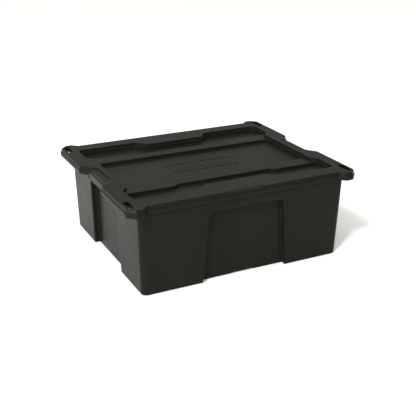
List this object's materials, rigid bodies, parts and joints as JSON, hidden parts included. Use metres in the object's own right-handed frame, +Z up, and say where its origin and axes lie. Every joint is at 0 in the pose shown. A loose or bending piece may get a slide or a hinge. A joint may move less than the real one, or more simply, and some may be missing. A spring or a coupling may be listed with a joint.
{
  "type": "storage tote with lift-off lid",
  "caption": "Low rectangular plastic storage tote with recessed wall panels, a flanged rim with hand grips, and a lift-off lid with a sunken ribbed top and strap slots in its corner ears.",
  "frame": {"origin": "on the ground plane, at the middle of the base", "axes": "+X along the length towards the right-hand grip, +Y from front to back, +Z up"},
  "size_m": [0.614, 0.521, 0.226],
  "materials": {
    "tote_plastic": "fine moulded texture, satin black polypropylene",
    "lid_plastic": "fine moulded texture, satin black polypropylene"
  },
  "bodies": {
    "tote": {"tote": "tote_plastic"},
    "lid": {"lid": "lid_plastic"}
  },
  "joints": [
    {"name": "lid_lift", "type": "slide", "parent": "tote", "child": "lid", "axis": [0, 0, 1], "range_m": [0, 0.25]}
  ]
}
